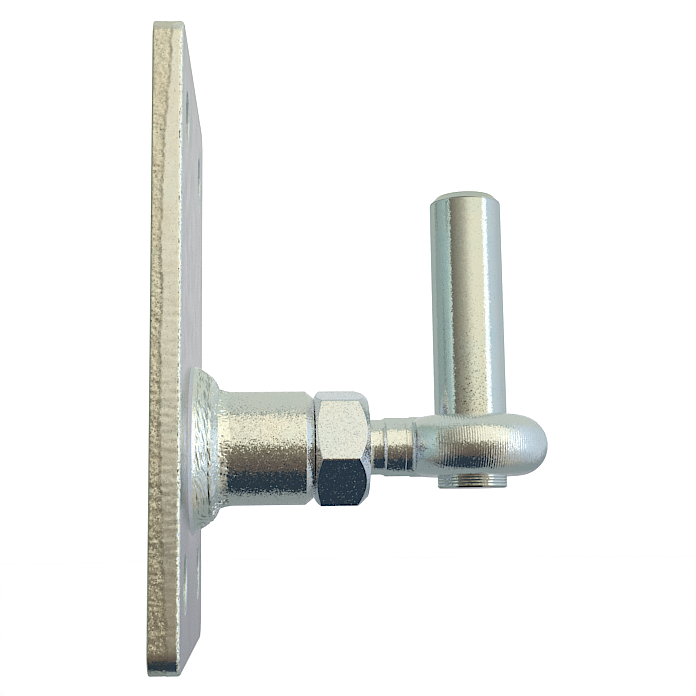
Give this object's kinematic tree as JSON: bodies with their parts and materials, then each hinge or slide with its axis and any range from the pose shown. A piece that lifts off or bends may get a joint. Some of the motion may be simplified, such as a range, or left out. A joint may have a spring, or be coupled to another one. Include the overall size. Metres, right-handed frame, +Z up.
{
  "type": "adjustable gate hinge",
  "caption": "Adjustable gate hinge: rectangular screw-on plate with a welded threaded boss, a lock nut and a screw-in eye bolt carrying an upright hinge pin.",
  "frame": {"origin": "centre of the four screw holes, on the back face of the plate", "axes": "+X out of the plate along the bolt, +Z up along the hinge pin, +Y across the plate"},
  "size_m": [0.0867, 0.078, 0.1264],
  "materials": {
    "plate_zinc": "bright zinc plated blanked steel",
    "boss_zinc": "bright zinc plated turned steel",
    "weld_zinc": "bright zinc plated weld metal",
    "nut_zinc": "bright zinc plated forged steel",
    "bolt_zinc": "bright zinc plated turned and forged steel",
    "pin_zinc": "bright zinc plated turned steel"
  },
  "bodies": {
    "bracket": {"mounting_plate": "plate_zinc", "threaded_boss": "boss_zinc", "weld_bead": "weld_zinc"},
    "nut": {"lock_nut": "nut_zinc"},
    "eye": {"eye_bolt": "bolt_zinc", "hinge_pin": "pin_zinc"}
  },
  "joints": [
    {"name": "screw_turn", "type": "hinge", "parent": "bracket", "child": "nut", "pos_m": [0.0381, 0, -0.0195], "axis": [1, 0, 0], "range_deg": [0, 3240]},
    {"name": "screw_travel", "type": "slide", "parent": "nut", "child": "eye", "axis": [1, 0, 0], "range_m": [0, 0.018]}
  ],
  "couplings": [
    {"joint": "screw_travel", "follows": "screw_turn", "m_per_rad": 0.00031831}
  ]
}
